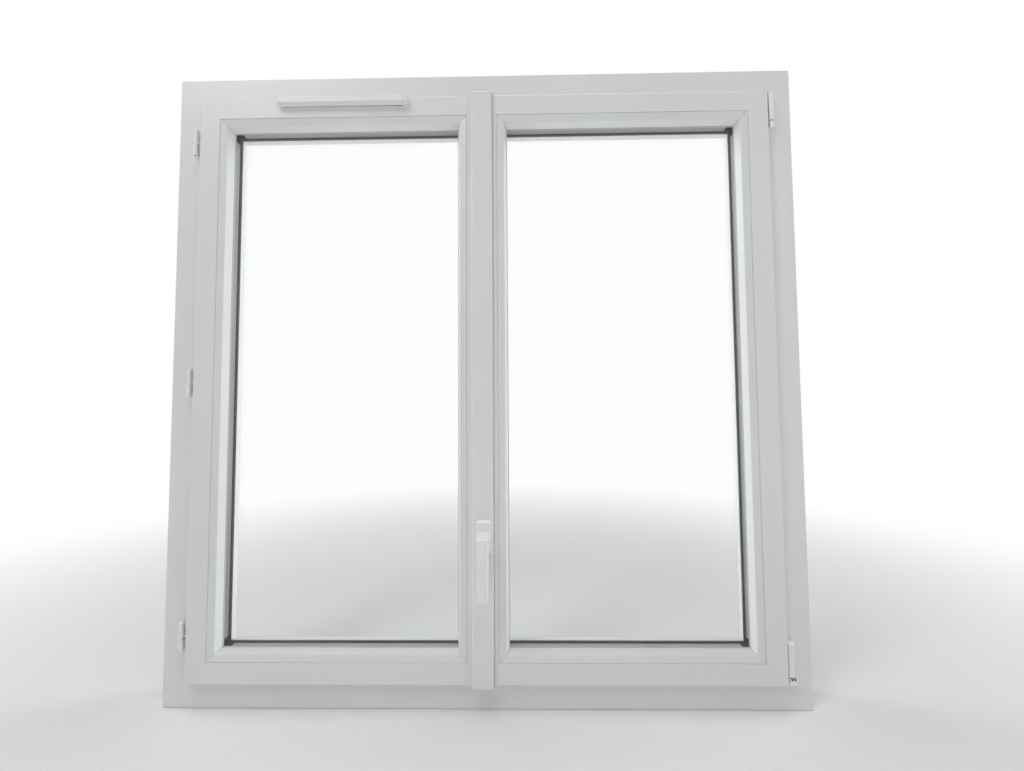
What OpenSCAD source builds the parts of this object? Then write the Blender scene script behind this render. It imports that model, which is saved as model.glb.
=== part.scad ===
// Double casement window seen from the room: an outer frame and two glazed sashes of hollow
// mitred profiles, a handle on the centre strip, hinges at both sides and a vent in one rail.
// Millimetres. X runs along the window, +Y points out of doors and Z up. The origin lies on the
// underside of the frame, midway along it and midway through it.
// A profile is drawn with its inset from the ring's outer edge along X and its depth, counted
// from the profile's room face, along Y. The ring modules then bend it round the four sides.

/* [Window] */
// Overall width of the frame
win_w = 1300; // [1000:10:1600]
// Overall height of the frame
win_h = 1310; // [1000:10:1600]

/* [Frame profile] */
// Depth of the frame from its room face to its weather face
frame_d = 70; // [68:1:76]
// Height of the leg on the room side
frame_leg = 61; // [58:1:64]
// Height of the floor between the two legs, where water runs off
frame_floor = 50; // [44:1:52]
// Height of the outer leg that the sashes close against
frame_stop = 81; // [78:1:84]
// Thickness of the walls that show
wall_t = 2.8; // [2.4:0.1:3.2]
// Thickness of the webs between the chambers
web_t = 1.4; // [1.0:0.1:1.8]
// Radius of the long edges that show
edge_r = 2.5; // [1:0.5:3]
// Width of the grooves in the frame's back, for clip-on profiles
groove_w = 6; // [4:0.5:8]
// Depth of those grooves
groove_t = 4; // [3:0.5:5]

/* [Sash profile] */
// Inset of the sash's edge from the frame's edge
sash_inset = 55; // [53:1:56]
// Depth of the sash profile
sash_d = 70; // [68:1:76]
// How far the sash stands proud of the frame in the room
sash_proud = 16; // [14:1:18]
// Width of the flange that laps over the frame
flange_w = 17; // [16:1:19]
// Height of the room-side face, up to the line of the glazing bead
face_w = 42.4; // [41:0.2:44]
// Height of the floor that the bead and the glazing unit stand on
seat_h = 38; // [36:1:39]
// Height of the outer lip where it meets the gasket
lip_h = 63; // [62:1:66]
// Fall of the lip's top towards the weather
lip_fall = 4; // [2:1:6]
// Thickness of the outer lip
lip_t = 20; // [18:1:22]
// Gap that a weather seal closes
seal_gap = 3; // [2.5:0.5:3.5]
// Width of the air gap between the two sash bodies
meet_gap = 12; // [10:1:13]

/* [Glazing] */
// Thickness of a pane
pane_t = 4; // [4:1:5]
// Width of the space between the panes
cavity = 16; // [14:1:18]
// Thickness of the gaskets on both sides of the unit
gasket_t = 3; // [2.5:0.5:3.5]
// Inset of the edge of the panes from the sash's edge
pane_inset = 45; // [44:1:48]
// Inset of the spacer bar's visible face from the sash's edge
spacer_inset = 59.5; // [56:0.5:60]
// Width of the fine line between the sash and the bead
bead_line = 0.4; // [0.3:0.1:0.6]
// Height of the bead's edge nearest the room
bead_edge = 57.5; // [56:0.5:59]
// Drop of the bead's face from the line to that edge
bead_drop = 3; // [2:0.5:4]

/* [Centre strip] */
// Width of the strip over the meeting stiles
strip_w = 43; // [40:1:46]
// Thickness of the strip
strip_t = 8; // [7:0.5:10]
// Thickness of its end caps, which stand past the sashes
strip_cap = 5.5; // [4:0.5:6]
// Width of the cover over the meeting line on the weather side
meet_cover_w = 44; // [40:1:48]

/* [Handle] */
// Distance of the handle to the right of the middle
handle_x = 3.2; // [0:0.1:4]
// Height of the handle's spindle above the underside of the frame
handle_z = 345.5; // [300:0.5:700]
// Width of the rosette
rose_w = 29; // [26:1:32]
// Height of the rosette
rose_h = 65; // [60:1:70]
// Thickness of the rosette
rose_t = 11; // [9:1:13]
// How far the front of the lever stands off the strip
lever_reach = 46; // [42:1:52]
// Thickness of the lever's arm
lever_t = 14; // [11:1:15]
// Length from the spindle to the end of the arm
lever_l = 112; // [100:1:130]
// Width of the arm at its back
lever_w = 24; // [20:1:25]

/* [Hinges] */
// Distance of the hinge axis from the sash's edge
hinge_off = 13.5; // [12:0.5:15]
// Distance of the hinge axis from the frame's room face
hinge_out = 8; // [7:0.5:9]
// Radius of the barrels
barrel_r = 4.5; // [4:0.5:5]
// Height of the frame half of a hinge
barrel_low = 22; // [20:1:30]
// Height of the sash half of a hinge
barrel_high = 33; // [26:1:36]
// Distance of the upper and lower hinges from the middle of the window
hinge_step = 511; // [360:1:540]
// Radius of the hinge pins
pin_r = 2; // [1.5:0.25:2.25]
// Running clearance round the hinge pins
pin_gap = 0.3; // [0.25:0.05:0.4]
// Distance of the right jamb's bearings from the sash's edge
stay_off = 10; // [9:0.5:11]

/* [Vent] */
// Length of the vent with its end caps
vent_l = 278; // [200:1:320]
// Distance of the vent from the middle of its sash, towards the strip
vent_shift = 10; // [0:1:20]
// Height of the vent
vent_h = 18.5; // [17:0.5:22]
// Depth of the vent in the room
vent_t = 14; // [12:1:16]
// Length of one end cap
vent_cap = 11; // [10:1:13]
// Height of the air slots through the sash's flange and the frame's stop
slot_h = 5; // [4:0.5:5]
// Height of the hood on the weather side
hood_h = 24; // [22:1:26]
// Depth of the hood
hood_t = 12; // [10:1:14]

/* [Drains and fixings] */
// Width of the covers over the drain slots
drain_w = 42; // [36:1:46]
// Distance of the outer drains from the middle
drain_step = 430; // [320:10:440]
// Radius of the fixing holes through the jambs
fix_r = 4; // [3.5:0.5:5]
// Height of the lowest fixing above the underside
fix_edge = 150; // [150:10:200]

/* [Hidden] */
$fa = 6;
$fs = 0.4;
eps = 0.01;
room_y = -frame_d / 2;
sash_y = room_y - sash_proud;
back_y = sash_y + sash_d;
flange_t = sash_proud - seal_gap;
stop_t = frame_d - (sash_d - sash_proud) - seal_gap;
lip_b = sash_d - lip_t;
unit_t = 2 * pane_t + cavity;
unit_b = lip_b - gasket_t - unit_t;
bead_b = unit_b - gasket_t;
line_h = face_w + bead_line;
bead_top = lip_h - 1;
front_y = sash_y - strip_t;
frame_box = [-win_w / 2, 0, win_w / 2, win_h];
sash_z0 = sash_inset;
sash_z1 = win_h - sash_inset;
sash_x = win_w / 2 - sash_inset;
// The sash rings reach past the middle as if their meeting stiles had a flange too.
meet_x = flange_w - meet_gap / 2;
left_box = [-sash_x, sash_z0, meet_x, sash_z1];
right_box = [-meet_x, sash_z0, sash_x, sash_z1];
hinge_x = sash_x + hinge_off;
hinge_y = room_y - hinge_out;
hinge_gap = 1.2;
// The joint between the two halves of each hinge.
hinge_zs = [for (k = [-1, 0, 1])
    win_h / 2 + k * hinge_step - (barrel_high - barrel_low) / 2];
stay_x = sash_x + stay_off;
vent_z1 = sash_z1 - 4;
vent_z0 = vent_z1 - vent_h;
vent_mid = vent_shift - (sash_x + meet_gap / 2) / 2;
vent_x0 = vent_mid - vent_l / 2;
vent_x1 = vent_mid + vent_l / 2;
vent_under = 0.47 * vent_t;
// The air slots stand in line in the flange and in the stop, above the body of the sash.
slot_z = sash_z1 - 14.5;
slot_l = (vent_l - 2 * vent_cap - 35) / 2;
slot_xs = [vent_mid - 7.5 - slot_l, vent_mid + 7.5];
fix_zs = [for (i = [0 : 3]) fix_edge + i * (win_h - 2 * fix_edge) / 3];

// Ring tools

// Lays a profile along one side of a box [x0, z0, x1, z1].
module along(box, side) {
    w = box[2] - box[0];
    h = box[3] - box[1];
    mid = (box[0] + box[2]) / 2;
    if (side == "bottom")
        translate([mid, 0, box[1]]) rotate([0, -90, 0])
            linear_extrude(height = w, center = true) children();
    if (side == "top")
        translate([mid, 0, box[3]]) mirror([0, 0, 1]) rotate([0, -90, 0])
            linear_extrude(height = w, center = true) children();
    if (side == "left")
        translate([box[0], 0, box[1]]) linear_extrude(height = h) children();
    if (side == "right")
        translate([box[2], 0, box[1]]) mirror([1, 0, 0])
            linear_extrude(height = h) children();
}

// The corners of the space that one side of a ring has between its two mitres.
function wedge_points(b, side, reach) =
    side == "bottom" ? [[b[0], b[1]], [b[2], b[1]], [b[2] - reach, b[1] + reach], [b[0] + reach, b[1] + reach]]
    : side == "top" ? [[b[0], b[3]], [b[2], b[3]], [b[2] - reach, b[3] - reach], [b[0] + reach, b[3] - reach]]
    : side == "left" ? [[b[0], b[1]], [b[0], b[3]], [b[0] + reach, b[3] - reach], [b[0] + reach, b[1] + reach]]
    : [[b[2], b[1]], [b[2], b[3]], [b[2] - reach, b[3] - reach], [b[2] - reach, b[1] + reach]];

// One side of a ring, cut to a mitre at both ends.
module mitred(box, side) {
    intersection() {
        along(box, side) children();
        rotate([90, 0, 0]) linear_extrude(height = 400, center = true)
            polygon(wedge_points(box, side, 120));
    }
}

// A square-edged ring between two insets of a box, from depth y0 to y1.
module flat_ring(box, inset0, inset1, y0, y1) {
    difference() {
        translate([box[0] + inset0, y0, box[1] + inset0])
            cube([box[2] - box[0] - 2 * inset0, y1 - y0, box[3] - box[1] - 2 * inset0]);
        translate([box[0] + inset1, y0 - 1, box[1] + inset1])
            cube([box[2] - box[0] - 2 * inset1, y1 - y0 + 2, box[3] - box[1] - 2 * inset1]);
    }
}

// What has to go from a square corner at p so that it is round; s points into the solid.
module corner_waste(p, s, r) {
    difference() {
        translate([p[0] - (s[0] < 0 ? r : eps), p[1] - (s[1] < 0 ? r : eps)])
            square([r + eps, r + eps]);
        translate([p[0] + s[0] * r, p[1] + s[1] * r]) circle(r = r);
    }
}

// A rectangle given by two opposite corners.
module box2(x0, y0, x1, y1) {
    translate([x0, y0]) square([x1 - x0, y1 - y0]);
}

// Frame

// The frame's section: a room-side leg, a floor that falls outwards, the outer stop and the
// chambers. Two grooves in the back take clip-on profiles.
module frame_section() {
    rib = wall_t + groove_t + web_t;
    inner_d = frame_d - stop_t;
    floor_in = frame_floor - 2;
    difference() {
        polygon([
            [0, 0], [frame_leg, 0], [frame_leg, 30], [frame_floor, 34],
            [floor_in, inner_d], [frame_stop, inner_d], [frame_stop, frame_d], [0, frame_d],
        ]);
        corner_waste([0, 0], [1, 1], 1.5);
        corner_waste([0, frame_d], [1, -1], 1.5);
        corner_waste([frame_stop, frame_d], [-1, -1], edge_r);
        for (d = [8, frame_d - 8 - groove_w])
            box2(-1, d, groove_t, d + groove_w);
        // Room-side chambers
        box2(rib, wall_t, 30, 14);
        box2(30 + web_t, wall_t, frame_leg - wall_t, 14);
        // Chamber of the reinforcement and the small one above it
        box2(rib, 14 + web_t, floor_in - wall_t - 2, inner_d - 12);
        box2(floor_in - 4.8 + web_t, 14 + web_t, frame_leg - wall_t, 30 - wall_t);
        // Weather-side chambers and the hollow of the stop
        box2(rib, inner_d - 12 + web_t, floor_in - wall_t, frame_d - wall_t);
        box2(floor_in + web_t, inner_d + wall_t, frame_stop - wall_t, frame_d - wall_t);
    }
}

module frame_side(side) {
    color([0.86, 0.87, 0.87]) translate([0, room_y, 0])
        mitred(frame_box, side) frame_section();
}

// The vent's air slots leave through the stop of the head.
module frame_head() {
    difference() {
        frame_side("top");
        for (x = slot_xs)
            translate([x, room_y + frame_d - stop_t - 1, slot_z])
                color([0.86, 0.87, 0.87]) cube([slot_l, stop_t + 2, slot_h]);
    }
}

// The sill has drain slots through its weather wall.
module frame_sill() {
    difference() {
        frame_side("bottom");
        for (x = [-drain_step, 0, drain_step])
            translate([x - 14, room_y + frame_d - wall_t - 1, 22])
                color([0.86, 0.87, 0.87]) cube([28, wall_t + 2, 5]);
    }
}

// Fixing holes run through the back, the webs and the leg of a jamb.
module jamb_holes(at) {
    for (z = fix_zs)
        translate([at, 0, z]) rotate([0, 90, 0])
            cylinder(h = frame_leg * 2 + 10, r = fix_r, center = true);
}

module frame_left_jamb() {
    difference() {
        frame_side("left");
        color([0.86, 0.87, 0.87]) translate([0, room_y + 24, 0]) jamb_holes(-win_w / 2);
    }
}

module frame_right_jamb() {
    difference() {
        frame_side("right");
        color([0.86, 0.87, 0.87]) translate([0, room_y + 24, 0]) jamb_holes(win_w / 2);
    }
}

// The seal in the outer stop that both sashes close against.
module frame_seal() {
    in = sash_inset + flange_w;
    color([0.08, 0.08, 0.09])
        flat_ring(frame_box, in + 1.5, frame_stop - 1.5, back_y, back_y + seal_gap);
}

// Sashes

// The sash's section: a flange over the frame, the body with its chambers and its hardware
// groove, the seat of the bead with a clip slot, and the sloped outer lip.
module sash_section(flange = true) {
    edge = flange ? 0 : flange_w;
    difference() {
        polygon(concat(
            flange ? [[0, 0]] : [[flange_w, 0]],
            [
                [face_w - 0.7, 0], [face_w, 0.9], [face_w, 3.2], [seat_h, 3.2], [seat_h, 8],
                [seat_h - 3, 8], [seat_h - 3, 14], [seat_h, 14], [seat_h, lip_b],
                [lip_h, lip_b], [lip_h - lip_fall, sash_d], [flange_w, sash_d],
                [flange_w, 44], [flange_w + 4, 44], [flange_w + 4, 28], [flange_w, 28],
            ],
            flange ? [[flange_w, flange_t], [0, flange_t]] : []
        ));
        corner_waste([edge, 0], [1, 1], edge_r);
        if (flange) corner_waste([0, flange_t], [1, -1], 1);
        // Room-side chambers
        if (flange) box2(wall_t, wall_t, flange_w - web_t, flange_t - wall_t);
        box2(flange_w + wall_t, wall_t, seat_h - 3 - web_t, 15);
        // Chamber of the reinforcement
        box2(flange_w + 4 + web_t, 15 + web_t, seat_h - wall_t, lip_b - wall_t);
        // Weather-side chambers
        box2(flange_w + wall_t, lip_b - wall_t + web_t, seat_h - web_t, sash_d - wall_t);
        polygon([
            [seat_h, lip_b + wall_t], [lip_h - wall_t - 0.4, lip_b + wall_t],
            [lip_h - lip_fall - wall_t + 0.4, sash_d - wall_t], [seat_h, sash_d - wall_t],
        ]);
    }
}

// One member of a sash. The two rails end at the meeting line, where the flange stops.
module sash_side(box, side, meeting = false) {
    color([0.88, 0.89, 0.89]) intersection() {
        translate([0, sash_y, 0]) mitred(box, side) sash_section(!meeting);
        if (box[0] < -meet_x - 1)
            translate([-win_w, -200, 0]) cube([win_w - meet_gap / 2, 400, win_h]);
        else
            translate([meet_gap / 2, -200, 0]) cube([win_w, 400, win_h]);
    }
}

// The vent's air slots pass through the flange of the top rail.
module left_sash_top_rail() {
    difference() {
        sash_side(left_box, "top");
        for (x = slot_xs)
            translate([x, sash_y - 1, slot_z])
                color([0.88, 0.89, 0.89]) cube([slot_l, flange_t + 2, slot_h]);
    }
}

module left_sash_bottom_rail() sash_side(left_box, "bottom");
module left_sash_hinge_stile() sash_side(left_box, "left");
module left_sash_meeting_stile() sash_side(left_box, "right", true);
module right_sash_top_rail() sash_side(right_box, "top");
module right_sash_bottom_rail() sash_side(right_box, "bottom");
module right_sash_hinge_stile() sash_side(right_box, "right");
module right_sash_meeting_stile() sash_side(right_box, "left", true);

// The seal under a sash's flange, which stops at the meeting line.
module flange_seal(sign) {
    color([0.08, 0.08, 0.09]) intersection() {
        flat_ring(frame_box, sash_inset + 1.5, frame_leg - 1, room_y - seal_gap, room_y);
        translate([sign > 0 ? meet_gap / 2 : -win_w, -200, 0])
            cube([win_w - (sign > 0 ? 0 : meet_gap / 2), 400, win_h]);
    }
}

module left_flange_seal() flange_seal(-1);
module right_flange_seal() flange_seal(1);

// Glazing

// A hollow bead: a sloped face, a top that rises to the pane and a foot with its clip.
module bead_section() {
    difference() {
        polygon([
            [line_h, 1.1], [line_h + 0.7, 0.4], [bead_edge - 0.6, bead_drop - 0.1],
            [bead_edge, bead_drop + 0.6], [bead_top, bead_b], [seat_h, bead_b],
            [seat_h, 13.8], [seat_h - 2.8, 13.8], [seat_h - 2.8, 8.2], [seat_h, 8.2],
            [seat_h, 3.4], [line_h, 3.4],
        ]);
        polygon([
            [line_h + 2, 4.6], [bead_edge - 1.6, 5.4], [bead_top - 2, bead_b - 1.6],
            [seat_h + 1.6, bead_b - 1.6], [seat_h + 1.6, 5.4],
        ]);
    }
}

module bead(box, side) {
    color([0.9, 0.91, 0.91]) translate([0, sash_y, 0]) mitred(box, side) bead_section();
}

module left_beads_level() {
    bead(left_box, "top");
    bead(left_box, "bottom");
}

module left_beads_upright() {
    bead(left_box, "left");
    bead(left_box, "right");
}

module right_beads_level() {
    bead(right_box, "top");
    bead(right_box, "bottom");
}

module right_beads_upright() {
    bead(right_box, "left");
    bead(right_box, "right");
}

module pane(box, b) {
    color([0.7, 0.8, 0.8, 0.35])
        translate([box[0] + pane_inset, sash_y + b, box[1] + pane_inset])
            cube([box[2] - box[0] - 2 * pane_inset, pane_t, box[3] - box[1] - 2 * pane_inset]);
}

module left_inner_pane() pane(left_box, unit_b);
module left_outer_pane() pane(left_box, unit_b + pane_t + cavity);
module right_inner_pane() pane(right_box, unit_b);
module right_outer_pane() pane(right_box, unit_b + pane_t + cavity);

// The bar between the panes, a little inside their edge.
module spacer(box) {
    y = sash_y + unit_b + pane_t;
    color([0.5, 0.5, 0.5]) flat_ring(box, pane_inset + 1, spacer_inset, y, y + cavity);
}

module left_spacer() spacer(left_box);
module right_spacer() spacer(right_box);

// The soft lip of the beads, which widens towards the pane, and the gasket on the outer lip.
module glazing_gaskets(box) {
    color([0.07, 0.07, 0.08]) translate([0, sash_y, 0]) {
        for (side = ["top", "bottom", "left", "right"]) {
            mitred(box, side) polygon([
                [52, bead_b], [bead_top - 0.4, bead_b], [bead_top + 1, bead_b + 1.2],
                [bead_top + 1.4, unit_b], [52, unit_b],
            ]);
            mitred(box, side) polygon([
                [52, lip_b - gasket_t], [lip_h - 0.9, lip_b - gasket_t],
                [lip_h - 0.4, lip_b - 1], [lip_h - 0.8, lip_b], [52, lip_b],
            ]);
        }
    }
}

module left_glazing_gaskets() glazing_gaskets(left_box);
module right_glazing_gaskets() glazing_gaskets(right_box);

// Meeting line

// The hollow profile on the left sash that fills the air gap and covers it out of doors.
module meeting_profile() {
    half = meet_cover_w / 2;
    gap = meet_gap / 2;
    web = gap - seal_gap;
    z0 = frame_stop + 1.5;
    web_z0 = sash_inset + flange_w + 2;
    color([0.86, 0.87, 0.87]) {
        difference() {
            translate([0, back_y, z0]) linear_extrude(height = win_h - 2 * z0) difference() {
                polygon([
                    [-half, 0], [web, 0], [web, seal_gap], [half, seal_gap],
                    [half, seal_gap + 4], [half - 3, seal_gap + 8], [3 - half, seal_gap + 8],
                    [-half, seal_gap + 4],
                ]);
                box2(3 - half, 2, -gap, seal_gap + 5.6);
                box2(web_t - gap, 2, web - 2, seal_gap + 5.6);
                box2(web, seal_gap + 2, half - 3.2, seal_gap + 5.6);
            }
        }
        difference() {
            translate([-gap, sash_y + 6, web_z0])
                cube([gap + web, sash_d - 6, win_h - 2 * web_z0]);
            translate([2 - gap, sash_y + 8, web_z0 - 1])
                cube([gap + web - 4, sash_d - 10 - eps, win_h - 2 * web_z0 + 2]);
        }
    }
}

// The seals against the right sash: one under that profile's cover and, in the room, a lip
// under the free edge of the strip.
module meeting_seal() {
    z0 = frame_stop + 1.5;
    color([0.08, 0.08, 0.09]) {
        translate([meet_gap / 2 + 4, back_y, z0]) cube([7, seal_gap, win_h - 2 * z0]);
        translate([strip_w / 2, sash_y, sash_z0]) linear_extrude(height = sash_z1 - sash_z0)
            polygon([[-2.6, 0], [2.2, 0], [0.8, -seal_gap + 0.6], [0, -seal_gap], [-2.6, -seal_gap]]);
    }
}

// The strip in the room, with rounded front edges. It sits on the left sash, and its right wing
// laps over the right sash.
module strip_outline(grow = 0) {
    half = strip_w / 2 + grow;
    difference() {
        box2(-half, -grow, half, strip_t);
        corner_waste([-half, -grow], [1, 1], 3);
        corner_waste([half, -grow], [-1, 1], 3);
    }
}

module centre_strip() {
    leg = meet_gap / 2 - 0.5;
    color([0.9, 0.91, 0.91]) translate([0, front_y, sash_z0])
        linear_extrude(height = sash_z1 - sash_z0) difference() {
            strip_outline();
            box2(2.2 - strip_w / 2, 3, -9, strip_t - 1.6);
            box2(-7.4, 2.2, leg - 1.6, strip_t - 1.6);
            box2(leg, 3, strip_w / 2 - 3, strip_t + 1);
            box2(strip_w / 2 - 3 - eps, strip_t - seal_gap, strip_w / 2 + 1, strip_t + 1);
        }
}

// End caps, a little larger than the strip, whose front falls back to the sash.
module strip_cap_at(z, up) {
    y0 = front_y - 0.5;
    translate([0, 0, z]) mirror([0, 0, up > 0 ? 0 : 1]) intersection() {
        translate([0, front_y, 0]) linear_extrude(height = strip_cap) strip_outline(0.5);
        rotate([90, 0, 90]) linear_extrude(height = strip_w + 2, center = true) polygon([
            [y0, 0], [y0, 0.6], [y0 + 4.5, strip_cap], [sash_y, strip_cap], [sash_y, 0],
        ]);
    }
}

module strip_end_caps() {
    color([0.9, 0.91, 0.91]) {
        strip_cap_at(sash_z1, 1);
        strip_cap_at(sash_z0, -1);
    }
}

// Handle

// A plate with a bevelled front, steeper at the sides than at its two ends.
module handle_rosette() {
    side = 1.3;
    end = 2.8;
    hw = rose_w / 2;
    hh = rose_h / 2;
    color([0.9, 0.9, 0.9]) translate([handle_x, front_y, handle_z]) intersection() {
        linear_extrude(height = rose_h, center = true) polygon([
            [-hw, 0], [hw, 0], [hw, 2 - rose_t], [hw - side, -rose_t], [side - hw, -rose_t],
            [-hw, 2 - rose_t],
        ]);
        rotate([90, 0, 90]) linear_extrude(height = rose_w, center = true) polygon([
            [0, -hh], [0, hh], [3 - rose_t, hh], [-rose_t, hh - end], [-rose_t, end - hh],
            [3 - rose_t, -hh],
        ]);
    }
}

// A cranked lever: a neck off the rosette, then an arm that hangs down with bevelled sides.
module handle_lever() {
    hw = lever_w / 2;
    top = 13;
    out = -lever_reach;
    in = out + lever_t;
    color([0.9, 0.9, 0.9]) translate([handle_x, front_y, handle_z]) intersection() {
        rotate([90, 0, 90]) linear_extrude(height = lever_w, center = true) polygon([
            [-rose_t, top], [out + 7, top - 2.6], [out + 2, top - 4.4], [out, top - 6.4],
            [out, 3 - lever_l], [out + 1.2, 1 - lever_l],
            [out + 3, -lever_l], [in - 2, -lever_l], [in, 3 - lever_l],
            [in, -32], [in + 4, -20], [in + 12, -14], [-rose_t, -13],
        ]);
        rotate([90, 0, 0]) linear_extrude(height = 200, center = true) polygon([
            [-hw, top + 1], [hw, top + 1], [hw - 1, -lever_l - 1], [1 - hw, -lever_l - 1],
        ]);
        linear_extrude(height = 400, center = true) polygon([
            [-hw, 0], [hw, 0], [hw, in - 2], [hw - 3.2, out], [3.2 - hw, out], [-hw, in - 2],
        ]);
    }
}

// Hinges

// A barrel on its axis with a flat back that reaches to depth y1.
module barrel(z0, h, y1) {
    difference() {
        union() {
            translate([0, 0, z0]) cylinder(h = h, r = barrel_r);
            translate([-barrel_r, 0, z0]) cube([2 * barrel_r, y1, h]);
        }
        translate([0, 0, z0 - 1]) cylinder(h = h + 2, r = pin_r + pin_gap);
    }
}

// The lower halves sit on the face of the jamb.
module left_hinge_frame_halves() {
    color([0.88, 0.88, 0.88])
        for (z = hinge_zs)
            translate([-hinge_x, hinge_y, z]) barrel(-barrel_low, barrel_low, hinge_out);
}

// The upper halves are closed at the top and reach over to the sash's edge with a short arm.
module left_hinge_sash_halves() {
    c = 0.9;
    color([0.88, 0.88, 0.88])
        for (z = hinge_zs)
            translate([-hinge_x, hinge_y, z + hinge_gap]) difference() {
                union() {
                    cylinder(h = barrel_high - c, r = barrel_r);
                    translate([0, 0, barrel_high - c])
                        cylinder(h = c, r1 = barrel_r, r2 = barrel_r - c);
                    translate([0, 1, 3.5]) cube([hinge_off, 4, 4]);
                }
                translate([0, 0, -1]) cylinder(h = barrel_high - 1, r = pin_r + pin_gap);
            }
}

// The pins, each with a collar that carries the upper half.
module left_hinge_pins() {
    color([0.75, 0.75, 0.77])
        for (z = hinge_zs)
            translate([-hinge_x, hinge_y, z]) {
                translate([0, 0, 2 - barrel_low])
                    cylinder(h = barrel_low + barrel_high + hinge_gap - 5, r = pin_r);
                cylinder(h = hinge_gap, r = barrel_r - 1);
            }
}

// A block on the frame with rounded front edges, whose top may fall towards the room.
module hinge_block(w, d, h, r, fall = 0) {
    intersection() {
        linear_extrude(height = h) difference() {
            box2(-w / 2, -d, w / 2, 0);
            corner_waste([-w / 2, -d], [1, 1], r);
            corner_waste([w / 2, -d], [-1, 1], r);
        }
        rotate([90, 0, 90]) linear_extrude(height = w + 2, center = true)
            polygon([[0, -1], [0, h], [-d * 0.6, h - fall * 0.3], [-d, h - fall], [-d, -1]]);
    }
}

// The stay's bearing at the top of the right jamb, and the cover over its sleeve.
module right_stay_bearing() {
    color([0.88, 0.88, 0.88]) translate([stay_x + 0.4, room_y, sash_z1 - 75.5])
        hinge_block(9.6, 12, 14.6, 2, 0.8);
}

module right_stay_cover() {
    color([0.88, 0.88, 0.88]) translate([stay_x - 1.2, room_y, sash_z1 - 60.3])
        hinge_block(9.2, 14, 62.4, 2.5, 1.2);
}

// The base at the foot of the right jamb: a block with two pockets at its top edge.
module right_corner_base() {
    color([0.88, 0.88, 0.88]) translate([stay_x + 0.6, room_y, sash_z0 + 1.5]) difference() {
        hinge_block(13.4, 15, 12, 1.5);
        for (x = [-5.4, 0.2])
            translate([x, -16, 8.4]) cube([3.8, 6, 5]);
    }
}

module right_corner_cover() {
    color([0.88, 0.88, 0.88]) translate([stay_x - 0.2, room_y, sash_z0 + 13.8])
        hinge_block(12.2, 11.5, 68.2, 2.5, 5);
}

// Vent

// The vent's section, depth along X and height along Y, drawn smaller by the wall: a level top,
// an upright front, a slope below it and a short underside.
function vent_shape(t, h, wall) = [
    [0, h - wall], [2.5 - t + 0.6 * wall, h - 0.4 - wall], [wall - t, h - 2.6 - 0.4 * wall],
    [wall - t, 0.27 * h + 0.5 * wall], [0.4 * wall - vent_under, wall], [0, wall],
];

// The vent's outline seen from the room, and seen from above.
module vent_face() {
    rotate([90, 0, 0]) linear_extrude(height = 200, center = true) difference() {
        box2(vent_x0, vent_z0, vent_x1, vent_z1);
        corner_waste([vent_x0, vent_z0], [1, 1], 8);
        corner_waste([vent_x1, vent_z0], [-1, 1], 8);
        corner_waste([vent_x0, vent_z1], [1, -1], 5);
        corner_waste([vent_x1, vent_z1], [-1, -1], 5);
    }
}

module vent_plan() {
    translate([0, 0, vent_z0]) linear_extrude(height = vent_h) difference() {
        box2(vent_x0, sash_y - vent_t, vent_x1, sash_y);
        corner_waste([vent_x0, sash_y - vent_t], [1, 1], 9);
        corner_waste([vent_x1, sash_y - vent_t], [-1, 1], 9);
    }
}

module vent_run(x0, x1, wall) {
    translate([x0, sash_y, vent_z0]) rotate([90, 0, 90])
        linear_extrude(height = x1 - x0) polygon(vent_shape(vent_t, vent_h, wall));
}

// The cover is a thin shell, open towards the sash, with a row of air slots along its top and
// four long ones along its underside.
module vent_cover() {
    x0 = vent_x0 + vent_cap;
    x1 = vent_x1 - vent_cap;
    n = floor((x1 - x0 - 14) / 14);
    bar = 2;
    step = (x1 - x0 - 8 + bar) / 4;
    color([0.87, 0.88, 0.88]) difference() {
        vent_run(x0, x1, 0);
        vent_run(x0 + 2, x1 - 2, 1.6);
        translate([x0 + 6, sash_y - 3, vent_z0 + 3]) cube([x1 - x0 - 12, 6, vent_h - 6]);
        for (i = [0 : n - 1])
            translate([x0 + 8 + i * 14, sash_y - vent_t + 4, vent_z1 - 3]) cube([11, 6, 6]);
        for (i = [0 : 3])
            translate([x0 + 4 + i * step, sash_y - vent_under + 0.8, vent_z0 - 1])
                cube([step - bar, vent_under - 2.6, 3]);
    }
}

module vent_end_caps() {
    color([0.87, 0.88, 0.88]) intersection() {
        union() {
            vent_run(vent_x0, vent_x0 + vent_cap, 0);
            vent_run(vent_x1 - vent_cap, vent_x1, 0);
        }
        vent_face();
        vent_plan();
    }
}

// The hood over the slots in the frame's stop: a sloped roof, an opening at the bottom and a
// row of bars in it that keeps insects out.
module vent_hood() {
    w = vent_l - 6;
    color([0.87, 0.88, 0.88]) translate([vent_mid, room_y + frame_d, slot_z + 14]) {
        difference() {
            rotate([90, 0, 90]) linear_extrude(height = w, center = true)
                polygon([[0, 0], [0, -hood_h], [hood_t, -hood_h], [hood_t, -9], [5, 0]]);
            rotate([90, 0, 90]) linear_extrude(height = w - 4, center = true)
                polygon([
                    [-1, -2.4], [-1, -hood_h - 1], [hood_t - 2, -hood_h - 1],
                    [hood_t - 2, -9.8], [4.2, -2.4],
                ]);
        }
        for (i = [0 : 17])
            translate([-w / 2 + 7 + i * (w - 14 - 3) / 17, 0, -hood_h + 2])
                cube([3, hood_t - 1, 2]);
    }
}

// Drains

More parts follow.
